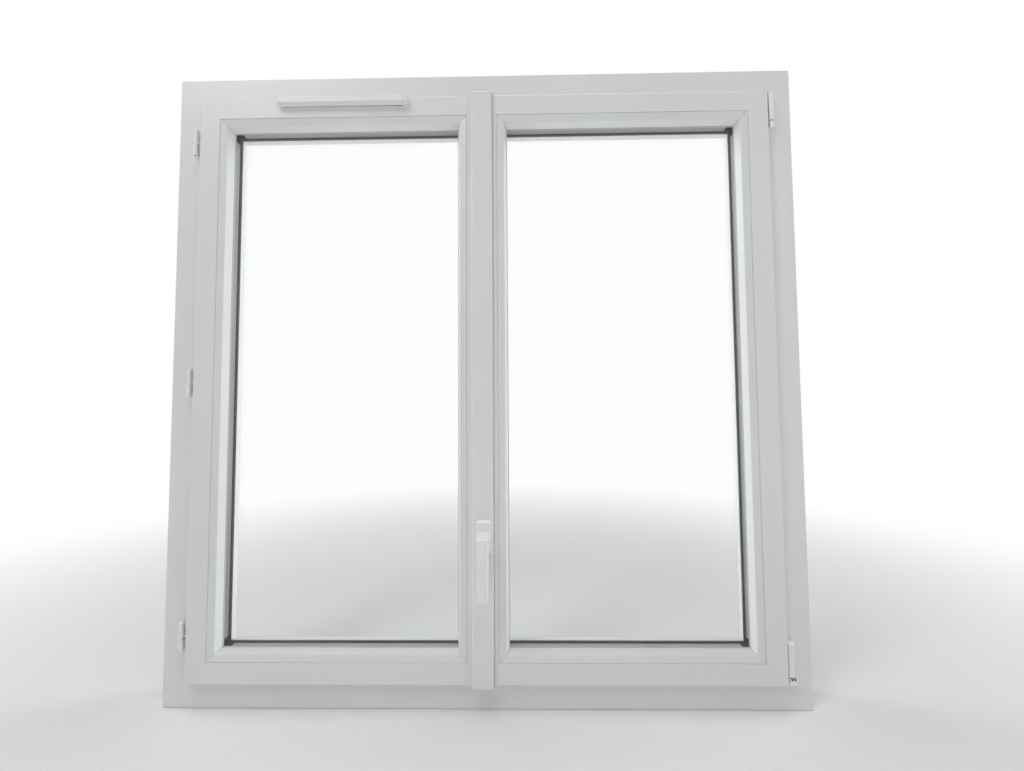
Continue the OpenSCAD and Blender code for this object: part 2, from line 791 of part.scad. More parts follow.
// Covers over the drain slots, open at the bottom.
module drain_covers() {
    color([0.87, 0.88, 0.88])
        for (x = [-drain_step, 0, drain_step])
            translate([x, room_y + frame_d, 17]) difference() {
                rotate([90, 0, 90]) linear_extrude(height = drain_w, center = true)
                    polygon([[0, 0], [6, 0], [6, 9], [0, 15]]);
                rotate([90, 0, 90]) linear_extrude(height = drain_w - 4, center = true)
                    polygon([[-1, -1], [4.4, -1], [4.4, 8.2], [-1, 13]]);
            }
}

frame_head();
frame_sill();
frame_left_jamb();
frame_right_jamb();
frame_seal();
left_sash_top_rail();
left_sash_bottom_rail();
left_sash_hinge_stile();
left_sash_meeting_stile();
right_sash_top_rail();
right_sash_bottom_rail();
right_sash_hinge_stile();
right_sash_meeting_stile();
left_flange_seal();
right_flange_seal();
left_beads_level();
left_beads_upright();
right_beads_level();
right_beads_upright();
left_inner_pane();
left_outer_pane();
right_inner_pane();
right_outer_pane();
left_spacer();
right_spacer();
left_glazing_gaskets();
right_glazing_gaskets();
meeting_profile();
meeting_seal();
centre_strip();
strip_end_caps();
handle_rosette();
handle_lever();
left_hinge_frame_halves();
left_hinge_sash_halves();
left_hinge_pins();
right_stay_bearing();
right_stay_cover();
right_corner_base();
right_corner_cover();
vent_cover();
vent_end_caps();
vent_hood();
drain_covers();
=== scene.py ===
"""Looks, light and camera for a double casement window whose solids come packed as a fixed frame.

Metres, +Z up, +Y out of doors. The inner side, with the handle, faces -Y.
"""

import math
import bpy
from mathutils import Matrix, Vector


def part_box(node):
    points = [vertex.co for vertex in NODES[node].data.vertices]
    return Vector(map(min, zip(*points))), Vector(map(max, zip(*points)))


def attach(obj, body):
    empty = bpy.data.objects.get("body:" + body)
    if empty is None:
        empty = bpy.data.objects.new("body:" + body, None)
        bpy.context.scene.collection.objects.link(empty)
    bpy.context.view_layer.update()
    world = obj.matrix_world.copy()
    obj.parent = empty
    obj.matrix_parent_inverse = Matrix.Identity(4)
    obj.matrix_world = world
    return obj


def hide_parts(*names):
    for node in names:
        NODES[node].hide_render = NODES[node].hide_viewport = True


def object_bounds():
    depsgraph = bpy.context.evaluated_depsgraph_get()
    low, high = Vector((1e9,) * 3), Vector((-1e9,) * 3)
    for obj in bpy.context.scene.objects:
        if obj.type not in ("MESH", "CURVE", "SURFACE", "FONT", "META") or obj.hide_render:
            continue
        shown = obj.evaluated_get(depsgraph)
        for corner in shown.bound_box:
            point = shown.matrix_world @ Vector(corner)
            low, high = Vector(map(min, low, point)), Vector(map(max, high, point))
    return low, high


bl_info = {
    "name": "Double Casement Window Looks",
    "version": (1, 0, 0),
    "blender": (4, 5, 0),
    "location": "3D View > Sidebar > Window",
    "description": "Finishes a packed double casement window: profiles, glazing, hardware and vent",
    "category": "Object",
}

from functools import reduce

import bmesh
import bpy
from mathutils import Matrix, Vector

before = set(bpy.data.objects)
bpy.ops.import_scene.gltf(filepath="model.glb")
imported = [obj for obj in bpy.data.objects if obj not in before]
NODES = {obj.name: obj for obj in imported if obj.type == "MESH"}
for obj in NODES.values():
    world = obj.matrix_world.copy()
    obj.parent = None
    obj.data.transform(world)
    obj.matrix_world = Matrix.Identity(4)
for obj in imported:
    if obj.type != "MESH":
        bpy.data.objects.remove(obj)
CAD_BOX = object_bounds()
MM = 0.001
MICRON = 0.001 * MM

# Outer edges of the frame and of the two sash rings, as (x0, z0, x1, z1). The sash rings reach
# past the middle, because the meeting stiles are profiles whose flange was taken off.
FLANGE = 17 * MM
LOW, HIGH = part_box("frame_sill")[0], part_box("frame_head")[1]
FRAME_RING = (LOW.x, LOW.z, HIGH.x, HIGH.z)
SASH_LOW, SASH_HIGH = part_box("left_sash_bottom_rail")[0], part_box("left_sash_top_rail")[1]
LEFT_RING = (SASH_LOW.x, SASH_LOW.z, SASH_HIGH.x + FLANGE, SASH_HIGH.z)
RIGHT_RING = (-LEFT_RING[2], LEFT_RING[1], -LEFT_RING[0], LEFT_RING[3])

# A painted shadow line on the frame beside the sashes, where their edge shades it, as an inset
# from its ring and a half width.
SASH_SHADE_LINE = (SASH_LOW.z - LOW.z, 5 * MM)

# The strips have no welded corners, so their ring's diagonals pass far from them.
FAR_RING = (-2, -2, 2, 4)
FAR_SEAM = 0.1 * MM

PROFILE_NODES = {
    "frame": ["frame_head", "frame_sill", "frame_left_jamb", "frame_right_jamb"],
    "left": ["left_sash_top_rail", "left_sash_bottom_rail", "left_sash_hinge_stile",
             "left_sash_meeting_stile"],
    "right": ["right_sash_top_rail", "right_sash_bottom_rail", "right_sash_hinge_stile",
              "right_sash_meeting_stile"],
}
BEAD_NODES = {
    "left": ["left_beads_level", "left_beads_upright"],
    "right": ["right_beads_level", "right_beads_upright"],
}
STRIP_NODES = ["centre_strip", "strip_end_caps", "meeting_profile"]
SEAL_NODES = ["frame_seal", "left_flange_seal", "right_flange_seal"]
GASKET_NODES = ["left_glazing_gaskets", "right_glazing_gaskets"]
LIP_NODES = ["meeting_seal"]
PANE_NODES = ["left_inner_pane", "left_outer_pane", "right_inner_pane", "right_outer_pane"]
SPACER_NODES = ["left_spacer", "right_spacer"]
HINGE_NODES = ["left_hinge_frame_halves", "left_hinge_sash_halves", "right_stay_bearing",
               "right_stay_cover", "right_corner_base", "right_corner_cover"]
PIN_NODES = ["left_hinge_pins"]
VENT_NODES = ["vent_cover", "vent_end_caps", "vent_hood"]

# Depths of the glazing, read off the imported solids.
PANE_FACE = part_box("left_inner_pane")[0].y
CAVITY = (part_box("left_spacer")[0].y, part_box("left_spacer")[1].y)
OUTER_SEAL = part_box("left_outer_pane")[1].y

# The depths between which the gaskets' black turns into the colour of their inner side.
INNER_SIDE = (PANE_FACE + 3 * MM, PANE_FACE + 1 * MM)

# Insets of the beads' inner edge and of the spacer bars' visible face from the sash ring's edge.
BEAD_TOP = 62 * MM
SPACER_FACE = 59.5 * MM

# Places of the rubber noses, as an inset from the sash ring's edge and a depth.
BEAD_LIP = (BEAD_TOP + 0.2 * MM, PANE_FACE - 1.9 * MM)
PANE_SEAL_NOSE = (BEAD_TOP - 0.4 * MM, OUTER_SEAL + 1.2 * MM)
NOSE_SIDES = 10

# Rounding of the corners of the curves that the noses and the bores follow.
RING_CORNER = 2 * MM
RING_CORNER_POINTS = 5

# The bores are dark discs of painted shade just off the spacer bars' face, in two rows whose gap
# is a share of its width.
BORE_INSET = SPACER_FACE + 0.05 * MM
BORE_RADIUS = 0.4 * MM
BORE_SIDES = 8
BORE_ROW_GAP = 0.45

# The spacers' corner keys: how far they stand out of the bar and reach into it, and their front
# and back, which leave the bar's edges free.
KEY_THICK = 0.5 * MM
KEY_LAP = 0.3 * MM
KEY_DEPTHS = (CAVITY[0] + 0.3 * MM, CAVITY[1] - 0.3 * MM)

# The corner base's two open pockets: their places beside its middle, and how far their floor
# lies under its top.
POCKETS = (-3.5 * MM, 2.1 * MM)
POCKET_DEPTH = 3.6 * MM

# Soft edges, as the places where the dark begins and where it is full. A pocket's painted shade is
# given from its middle, the base's front and the pocket's floor, a joint's dark line from its
# middle.
POCKET_SIDE = (2.1 * MM, 1.8 * MM)
POCKET_FRONT = (0.2 * MM, 0.5 * MM)
POCKET_FLOOR = (-0.2 * MM, -0.05 * MM)
JOINT_SIDE = (0.9 * MM, 0.3 * MM)

# Shares of the edge rounding that the hardware and the mouldings take.
HANDLE_ROUNDING = {"handle_rosette": 1.0, "handle_lever": 1.6}
HINGE_ROUNDING = 0.7
MOULDING_ROUNDING = 0.6
ROUNDING_SEGMENTS = 3

# How a node is copied: points closer than this are one, and faces that meet at less than the flat
# angle too. Edges above the sharp angle are rounded over, and below the smooth one shaded as one.
SAME_POINT = 2 * MICRON
FLAT_ANGLE = math.radians(1)
SHARP_ANGLE = math.radians(24)
SMOOTH_ANGLE = math.radians(35)

# How dark a welded corner, a dry mitre and a line of painted shade are, and the share of their half
# width within which they are darkest.
WELD_DARK = 0.12
MITRE_DARK = 0.85
SHADE_LINE_DARK = 0.3
SEAM_CORE = 0.35
SHADE_LINE_CORE = 0.1

# Roughness of the coated and the moulded parts.
HANDLE_GLOSS = 0.3
HINGE_GLOSS = 0.36
VENT_GLOSS = 0.4

# Fixed colours. The first is the share of each channel that is left where the plastic is warmer.
WARM = (0.965, 0.957, 0.935)
DUST = (0.55, 0.53, 0.50)
# Painted shade in the corner base's open pockets.
POCKET_SHADE_BLACK = (0.01, 0.01, 0.011)
# Painted shade of the spacer bores, which the corner keys also take as their own black.
BORE_SHADE_AND_KEY_BLACK = (0.012, 0.012, 0.013)
PIN_STEEL = (0.6, 0.6, 0.62)
WHITE = (1.0, 1.0, 1.0, 1.0)

# The camera's focal length in pixels of an image of this width, and its sensor in millimetres.
FOCAL_PIXELS = 430
IMAGE_WIDTH = 1024
SENSOR = 36.0

# The floor lies just under the window, and turns to plain white between two distances from it.
FLOOR_RADIUS = 14.0
FLOOR_DROP = 0.5 * MM
FLOOR_FADE = (0.7, 2.6)

# Rays by which the world's white is seen: straight, in gloss or through glass. On all others the
# world gives the window a dim, even light.
SEEN_BY = ("Camera", "Glossy", "Transmission")
EVEN_LIGHT = 0.12

# Area lamps as (place, target, (width, height), watts), and daylight as the way it comes from.
MIDDLE = (0.0, 0.0, 0.65)
LAMPS = {
    "key_lamp": ((-2.1, -2.2, 3.8), MIDDLE, (1.4, 1.4), 43),
    "top_lamp": ((0.0, -0.9, 6.2), (0.0, -0.9, 0.0), (4.4, 4.4), 165),
    "fill_lamp": ((3.4, -2.2, 1.3), MIDDLE, (2.2, 2.2), 20),
    "front_lamp": ((-0.1, -3.0, 0.9), MIDDLE, (1.8, 1.2), 10),
    "low_glow": ((0.0, 0.9, 0.03), (0.0, 0.9, 2.0), (2.4, 0.5), 9),
}
DAYLIGHT = {"left_day": (-1.0, 0.26, 0.12), "right_day": (1.0, 0.26, 0.12)}
DAYLIGHT_STRENGTH = 2.1
DAYLIGHT_ANGLE = math.radians(24)
UNSEEN_LAMPS = ("front_lamp", "low_glow", "left_day", "right_day")


# Node trees


class Wire:
    """A node's socket that takes part in Python expressions by adding Math nodes."""

    def __init__(self, nodes, socket):
        self.nodes, self.socket = nodes, socket

    def _math(self, operation, *values):
        return self.nodes.node("ShaderNodeMath", {"operation": operation},
                               dict(enumerate(values)))

    def __add__(self, other):
        return self._math("ADD", self, other)

    __radd__ = __add__

    def __mul__(self, other):
        return self._math("MULTIPLY", self, other)

    __rmul__ = __mul__

    def __sub__(self, other):
        return self._math("SUBTRACT", self, other)

    def __rsub__(self, other):
        return self._math("SUBTRACT", other, self)

    def __abs__(self):
        return self._math("ABSOLUTE", self)

    def least(self, other):
        return self._math("MINIMUM", self, other)

    def most(self, other):
        return self._math("MAXIMUM", self, other)

    def ramp(self, low, high):
        """0 below low, 1 above high and a smooth rise between them; high may be the lower."""
        return self.nodes.node("ShaderNodeMapRange", {"interpolation_type": "SMOOTHSTEP"},
                               {"Value": self, "From Min": low, "From Max": high})


class Nodes:
    """A node tree, with one way to add a node to it and one to feed a socket."""

    def __init__(self, tree):
        self.tree = tree
        self.tree.nodes.clear()

    def feed(self, socket, value):
        """Links a socket to a wire, or gives it a value."""
        if isinstance(value, Wire):
            self.tree.links.new(value.socket, socket)
        else:
            socket.default_value = value

    def node(self, kind, settings=None, inputs=None, output=0):
        """Adds a node: its settings first, then the values or links of its sockets."""
        made = self.tree.nodes.new(kind)
        for name, value in (settings or {}).items():
            setattr(made, name, value)
        for name, value in (inputs or {}).items():
            self.feed(made.inputs[name], value)
        return Wire(self, made.outputs[output])


class Shader(Nodes):
    """The shader tree of a material or of the world."""

    def __init__(self, tree, output):
        super().__init__(tree)
        self.output = self.tree.nodes.new(output)

    def rays(self, kinds):
        """1 for the kinds of ray that are named, and 0 for all others."""
        path = self.node("ShaderNodeLightPath").socket.node
        return reduce(Wire.most, [Wire(self, path.outputs[f"Is {kind} Ray"]) for kind in kinds])

    def mix(self, amount, first, second):
        """Ends the tree in a mix of two shaders, by a wire from 0 to 1."""
        mixed = self.node("ShaderNodeMixShader", inputs={0: amount, 1: first, 2: second})
        self.feed(self.output.inputs["Surface"], mixed)


class Finish(Shader):
    """One material: a Principled shader and the nodes that feed it. Its colour and roughness
    are plain values until a wire takes their place."""

    def __init__(self, name, colour, roughness, **sockets):
        self.material = bpy.data.materials.new(name)
        self.material.use_nodes = True
        super().__init__(self.material.node_tree, "ShaderNodeOutputMaterial")
        self.principled = self.node("ShaderNodeBsdfPrincipled")
        self.feed(self.output.inputs["Surface"], self.principled)
        self.set("Base Color", (*colour, 1.0))
        self.set("Roughness", roughness)
        for socket, value in sockets.items():
            self.set(socket.replace("_", " "), value)
        self.material.diffuse_color = (*colour, 1.0)

    def set(self, name, value):
        self.feed(self.principled.socket.node.inputs[name], value)

    def place(self):
        """Object coordinates."""
        return self.node("ShaderNodeTexCoord", output="Object")

    def split(self, vector):
        """The three parts of a vector."""
        parts = self.node("ShaderNodeSeparateXYZ", inputs={0: vector}).socket.node.outputs
        return [Wire(self, part) for part in parts]

    def stretched(self, point, scale):
        return self.node("ShaderNodeMapping", inputs={"Vector": point, "Scale": scale})

    def noise(self, point, scale, detail=3.0, roughness=0.55):
        return self.node("ShaderNodeTexNoise",
                         inputs={"Vector": point, "Scale": scale, "Detail": detail,
                                 "Roughness": roughness})

    def blend(self, amount, first, second):
        """A colour between two, by a wire from 0 to 1."""
        made = self.node("ShaderNodeMix", {"data_type": "RGBA"}, {"Factor": amount}).socket.node
        for name, value in (("A", first), ("B", second)):
            socket = next(s for s in made.inputs if s.name == name and s.type == "RGBA")
            self.feed(socket, value if isinstance(value, Wire) else (*value, 1.0))
        return Wire(self, next(s for s in made.outputs if s.type == "RGBA"))

    def bump(self, height, strength):
        """Unevenness of a height in metres."""
        self.set("Normal", self.node("ShaderNodeBump", inputs={
            "Height": height, "Distance": 1.0, "Strength": strength}))


def shade(colour, share, lift=0.0):
    """A colour made darker or lighter."""
    return tuple(c * share + lift for c in colour)


def ring_distance(x, z, ring):
    """Inset from a ring's outer edge, and distance from its corner diagonals, as wires."""
    inset_x = (x - ring[0]).least(ring[2] - x)
    inset_z = (z - ring[1]).least(ring[3] - z)
    return inset_x.least(inset_z), abs(inset_x - inset_z)


# Materials


def plastic_profile(name, colour, gloss, ring, seam_width, shade_lines=(), seam_dark=WELD_DARK):
    """Satin white plastic: faint mottling and specks, weld seams or dry mitres in the corners, and
    painted shade in bands at given insets, where one profile shades another."""
    finish = Finish(name, colour, gloss, IOR=1.46)
    point = finish.place()
    x, _, z = finish.split(point)
    cloud = finish.noise(point, scale=3.1, detail=4.0)
    speck = finish.noise(point, scale=240.0, detail=2.0)
    inset, diagonal = ring_distance(x, z, ring)
    seam = diagonal.ramp(seam_width, seam_width * SEAM_CORE)
    joint_and_shade = seam * seam_dark
    # Painted shade: a darker band at each given inset, added to the dark of the joints.
    for at, half_width in shade_lines:
        line = abs(inset - at).ramp(half_width, half_width * SHADE_LINE_CORE)
        joint_and_shade = joint_and_shade.most(line * SHADE_LINE_DARK)
    warm = tuple(c * share for c, share in zip(colour, WARM))
    tone = finish.blend(cloud.ramp(0.35, 0.7), colour, warm)
    finish.set("Base Color", finish.blend(joint_and_shade * 0.75, tone,
                                          shade(colour, 0.56 - seam_dark * 0.3)))
    finish.set("Roughness", (cloud - 0.5) * 0.12 + gloss + joint_and_shade * 0.2)
    finish.bump(speck * (30 * MICRON) - seam * (120 * MICRON), strength=0.6)
    return finish.material


def rubber(name, colour, inner_colour=None):
    """Extruded seal with a little dust on it; its inner side may have a colour of its own."""
    finish = Finish(name, colour, roughness=0.62, IOR=1.5)
    point = finish.place()
    dust = finish.noise(point, scale=14.0, detail=5.0).ramp(0.4, 0.85) * 0.35
    grain = finish.noise(point, scale=900.0, detail=1.0)
    tone = finish.blend(dust, colour, shade(colour, 0.8, lift=0.1))
    if inner_colour:
        depth = finish.split(point)[1]
        pale = finish.blend(dust, inner_colour, shade(inner_colour, 0.85))
        tone = finish.blend(depth.ramp(*INNER_SIDE), tone, pale)
    finish.set("Base Color", tone)
    finish.set("Roughness", 0.5 + dust)
    finish.bump(grain * (30 * MICRON), strength=0.5)
    return finish.material


def spacer_bar(name, colour):
    """Satin metal bar between the panes, rolled from strip: fine streaks along its length."""
    finish = Finish(name, colour, roughness=0.4, Metallic=0.75)
    point = finish.place()
    streak = finish.noise(finish.stretched(point, scale=(1.0, 60.0, 1.0)), scale=22.0)
    cloud = finish.noise(point, scale=9.0)
    finish.set("Base Color", finish.blend(streak * 0.5 + cloud * 0.5, colour,
                                          shade(colour, 1.25)))
    finish.set("Roughness", 0.34 + streak * 0.12)
    finish.bump(streak * (30 * MICRON), strength=0.5)
    return finish.material


def float_glass(name, tint):
    """Clear pane that lets lamps through, with faint wiping marks."""
    finish = Finish(name, tint, roughness=0.0, IOR=1.45, Transmission_Weight=1.0)
    wiped = finish.stretched(finish.place(), scale=(2.0, 1.0, 0.6))
    wipe = finish.noise(wiped, scale=4.0, detail=6.0, roughness=0.65)
    finish.set("Roughness", wipe.ramp(0.5, 0.85) * 0.03)
    clear = finish.node("ShaderNodeBsdfTransparent", inputs={"Color": (*tint, 1.0)})
    finish.mix(finish.rays(("Shadow", "Diffuse")), finish.principled, clear)
    return finish.material


def coated_metal(name, colour, gloss, pockets=(), corner=None):
    """White powder coat with a fine orange peel. The open pockets are painted near black as shade;
    each is given by its place along the window, and the corner is their floor's front edge."""
    finish = Finish(name, colour, gloss, Coat_Weight=0.25, Coat_Roughness=0.25)
    point = finish.place()
    peel = finish.noise(point, scale=700.0, detail=1.5)
    cloud = finish.noise(point, scale=30.0, detail=4.0)
    tone = finish.blend(cloud.ramp(0.4, 0.75), colour, shade(colour, 0.955))
    # Painted shade: the floor and sides of each open pocket turn near black.
    for pocket in pockets:
        x, y, z = finish.split(point)
        pocket_shade = abs(x - pocket).ramp(*POCKET_SIDE)
        pocket_shade = pocket_shade * y.ramp(*(corner.y + edge for edge in POCKET_FRONT))
        pocket_shade = pocket_shade * z.ramp(*(corner.z + edge for edge in POCKET_FLOOR))
        tone = finish.blend(pocket_shade, tone, POCKET_SHADE_BLACK)
    finish.set("Base Color", tone)
    finish.set("Roughness", (cloud - 0.5) * 0.1 + gloss)
    finish.bump(peel * (50 * MICRON), strength=0.5)
    return finish.material


def plain_steel(name, colour):
    """Bare steel, with fine turning marks round the pins."""
    finish = Finish(name, colour, roughness=0.32, Metallic=1.0)
    turned = finish.stretched(finish.place(), scale=(1.0, 1.0, 14.0))
    grain = finish.noise(turned, scale=160.0, detail=4.0)
    finish.set("Base Color", finish.blend(grain, colour, shade(colour, 0.8)))
    finish.set("Roughness", 0.26 + grain * 0.16)
    finish.bump(grain * (30 * MICRON), strength=0.4)
    return finish.material


def moulded_plastic(name, colour, gloss, joints=()):
    """Injection-moulded plastic with a fine spark texture, a little dust on top and a dark line
    at each joint, given by its place along the window."""
    finish = Finish(name, colour, gloss)
    point = finish.place()
    along = finish.split(point)[0]
    up = finish.split(finish.node("ShaderNodeNewGeometry", output="Normal"))[2]
    spark = finish.noise(point, scale=1100.0, detail=1.0)
    cloud = finish.noise(point, scale=18.0, detail=5.0)
    dust = up.ramp(0.4, 0.95) * cloud.ramp(0.3, 0.75)
    tone = finish.blend(cloud, colour, shade(colour, 0.96))
    tone = finish.blend(dust * 0.35, tone, DUST)
    for joint in joints:
        near = abs(along - joint).ramp(*JOINT_SIDE)
        tone = finish.blend(near * 0.25, tone, shade(colour, 0.35))
    finish.set("Base Color", tone)
    finish.set("Roughness", gloss + dust * 0.3)
    finish.bump(spark * (40 * MICRON), strength=0.5)
    return finish.material


def bore_dark(name, colour):
    """Painted shade of a small bore: a near black with a rough edge. The spacer's corner keys take
    it as their own black.
    """
    finish = Finish(name, colour, roughness=0.8)
    grain = finish.noise(finish.place(), scale=1500.0, detail=1.0)
    finish.set("Base Color", finish.blend(grain, colour, shade(colour, 2.5)))
    finish.set("Roughness", 0.7 + grain * 0.2)
    finish.bump(grain * (20 * MICRON), strength=0.4)
    return finish.material


def dress(names, material):
    """Gives CAD nodes a material in every slot."""
    for name in names:
        mesh = NODES[name].data
        if not mesh.materials:
            mesh.materials.append(material)
        for i in range(len(mesh.materials)):
            mesh.materials[i] = material


# Pieces


def add_object(name, data):
    """A new object in the scene."""
    made = bpy.data.objects.new(name, data)
    bpy.context.scene.collection.objects.link(made)
    return made


def add_piece(name, mesh, material, replaced=()):
    """A new object on the window's one body, in place of the CAD nodes that it stands for."""
    piece = add_object(name, mesh)
    mesh.materials.clear()
    mesh.materials.append(material)
    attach(piece, "root")
    if replaced:
        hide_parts(*replaced)


def softened(node, width, material):
    """A copy of a CAD node whose sharp edges are rounded over, as a moulding's or casting's are."""
    shape = bmesh.new()
    shape.from_mesh(NODES[node].data)
    bmesh.ops.remove_doubles(shape, verts=shape.verts, dist=SAME_POINT)
    bmesh.ops.dissolve_limit(shape, angle_limit=FLAT_ANGLE, verts=shape.verts, edges=shape.edges)
    sharp = [e for e in shape.edges if e.is_manifold and e.calc_face_angle(0) > SHARP_ANGLE]
    rounded = bmesh.ops.bevel(shape, geom=sharp, offset=width, offset_type="OFFSET",
                              segments=ROUNDING_SEGMENTS, profile=0.5, affect="EDGES",
                              clamp_overlap=True)
    # Shading breaks where a rounding meets a flat face, so that the flat face stays flat.
    curved = set(rounded["faces"])
    for face in shape.faces:
        face.smooth = True
    for edge in shape.edges:
        at_rim = len({face in curved for face in edge.link_faces}) == 2
        edge.smooth = not at_rim and edge.calc_face_angle(0) < SMOOTH_ANGLE
    mesh = bpy.data.meshes.new(f"{node}_soft")
    shape.to_mesh(mesh)
    shape.free()
    add_piece(f"{node}_soft", mesh, material, (node,))


class Growth(Nodes):
    """A Geometry Nodes tree with named inputs, and the plain mesh that it grows."""

    def __init__(self, name, sizes):
        super().__init__(bpy.data.node_groups.new(name, "GeometryNodeTree"))
        face = self.tree.interface
        face.new_socket("Geometry", in_out="OUTPUT", socket_type="NodeSocketGeometry")
        for size, value in sizes.items():
            kind = "NodeSocketInt" if isinstance(value, int) else "NodeSocketFloat"
            face.new_socket(size, in_out="INPUT", socket_type=kind).default_value = value
        self.sizes = sizes
        self.inputs = self.tree.nodes.new("NodeGroupInput")
        self.output = self.tree.nodes.new("NodeGroupOutput")

    def size(self, name):
        return Wire(self, self.inputs.outputs[name])

    def vector(self, x=0.0, y=0.0, z=0.0):
        return self.node("ShaderNodeCombineXYZ", inputs={"X": x, "Y": y, "Z": z})

    def ring(self):
        """A closed rectangle upright in the window's plane, with rounded corners."""
        flat = self.node("GeometryNodeCurvePrimitiveQuadrilateral", {"mode": "RECTANGLE"},
                         {"Width": self.size("Width"), "Height": self.size("Height")})
        centre = self.vector(self.size("Centre X"), self.size("Depth"), self.size("Centre Z"))
        upright = self.node("GeometryNodeTransform", inputs={
            "Geometry": flat, "Rotation": (math.radians(90), 0, 0), "Translation": centre})
        return self.node("GeometryNodeFilletCurve", {"mode": "POLY"}, {
            "Curve": upright, "Radius": self.size("Corner"), "Count": RING_CORNER_POINTS})

    def grow(self, name, geometry, material):
        """Ends the tree, evaluates it with its sizes and returns a plain mesh."""
        real = self.node("GeometryNodeRealizeInstances", inputs={"Geometry": geometry})
        done = self.node("GeometryNodeSetMaterial",
                         inputs={"Geometry": real, "Material": material})
        self.feed(self.output.inputs[0], done)
        holder = add_object(name, bpy.data.meshes.new(name))
        modifier = holder.modifiers.new("growth", "NODES")
        modifier.node_group = self.tree
        for item in self.tree.interface.items_tree:
            if item.in_out == "INPUT":
                modifier[item.identifier] = self.sizes[item.name]
        graph = bpy.context.evaluated_depsgraph_get()
        mesh = bpy.data.meshes.new_from_object(holder.evaluated_get(graph))
        holder.modifiers.remove(modifier)
        bpy.data.objects.remove(holder)
        return mesh


def ring_sizes(ring, inset, depth):
    """The sizes of a curve that runs at an inset from a sash ring's edge."""
    return {
        "Width": ring[2] - ring[0] - 2 * inset, "Height": ring[3] - ring[1] - 2 * inset,
        "Centre X": (ring[0] + ring[2]) / 2, "Centre Z": (ring[1] + ring[3]) / 2,
        "Depth": depth, "Corner": RING_CORNER,
    }


def rubber_nose(name, ring, place, radius, material):
    """A round rubber nose that runs once round a pane, at a place of an inset and a depth."""
    growth = Growth("rubber nose", {**ring_sizes(ring, *place), "Radius": radius,
                                    "Sides": NOSE_SIDES})
    section = growth.node("GeometryNodeCurvePrimitiveCircle", {"mode": "RADIUS"}, {
        "Radius": growth.size("Radius"), "Resolution": growth.size("Sides")})
    swept = growth.node("GeometryNodeCurveToMesh", inputs={
        "Curve": growth.ring(), "Profile Curve": section})
    smooth = growth.node("GeometryNodeSetShadeSmooth", inputs={"Geometry": swept})
    add_piece(name, growth.grow(name, smooth, material), material)


def perforations(name, ring, pitch, material):
    """Two rows of flat dark discs along the visible face of a spacer bar: painted shade in place of
    its fine bores.
    """
    growth = Growth("spacer bores", {
        **ring_sizes(ring, BORE_INSET, sum(CAVITY) / 2), "Pitch": pitch, "Radius": BORE_RADIUS,
        "Row gap": (CAVITY[1] - CAVITY[0]) * BORE_ROW_GAP, "Sides": BORE_SIDES})
    spot = growth.node("GeometryNodeMeshCircle", {"fill_type": "NGON"}, {
        "Vertices": growth.size("Sides"), "Radius": growth.size("Radius")})
    rows = growth.node("GeometryNodeJoinGeometry")
    for side in (-0.5, 0.5):
        row = growth.node("GeometryNodeSetPosition", inputs={
            "Geometry": growth.ring(), "Offset": growth.vector(y=growth.size("Row gap") * side)})
        growth.feed(rows.socket.node.inputs[0], row)
    points = growth.node("GeometryNodeCurveToPoints", {"mode": "LENGTH"}, {
        "Curve": rows, "Length": growth.size("Pitch")}, "Points")
    normal = Wire(growth, points.socket.node.outputs["Normal"])
    turned = growth.node("FunctionNodeAlignRotationToVector", {"axis": "Z"}, {"Vector": normal})
    spots = growth.node("GeometryNodeInstanceOnPoints", inputs={
        "Points": points, "Instance": spot, "Rotation": turned})
    add_piece(name, growth.grow(name, spots, material), material)


def corner_keys(name, ring, leg, side, material):
    """The plastic keys that join a spacer's bars, where they show in its corners beside the
    jamb; side is -1 for the left jamb. The bar is bent round its other two corners."""
    thick, lap = KEY_THICK, -KEY_LAP
    outline = [(lap, lap), (leg, lap), (leg, thick * 0.4), (leg - thick * 2, thick),
               (thick * 3, thick), (thick * 1.6, thick * 1.6), (thick, thick * 3),
               (thick, leg - thick * 2), (thick * 0.4, leg), (lap, leg)]
    corner_x = ring[0] + SPACER_FACE if side < 0 else ring[2] - SPACER_FACE
    shape = bmesh.new()
    for corner_z, up in ((ring[1] + SPACER_FACE, 1), (ring[3] - SPACER_FACE, -1)):
        front, back = ([shape.verts.new((corner_x - side * a, y, corner_z + up * b))
                        for a, b in outline] for y in KEY_DEPTHS)
        shape.faces.new(front)
        shape.faces.new(list(reversed(back)))
        for i in range(len(outline)):
            j = (i + 1) % len(outline)
            shape.faces.new((front[j], front[i], back[i], back[j]))
    bmesh.ops.recalc_face_normals(shape, faces=shape.faces)
    mesh = bpy.data.meshes.new(name)
    shape.to_mesh(mesh)
    shape.free()
    add_piece(name, mesh, material)


# Sizes and colours

COLOUR_FIELD = {"subtype": "COLOR", "size": 3, "min": 0, "max": 1}
LENGTH_FIELD = {"subtype": "DISTANCE", "unit": "LENGTH"}


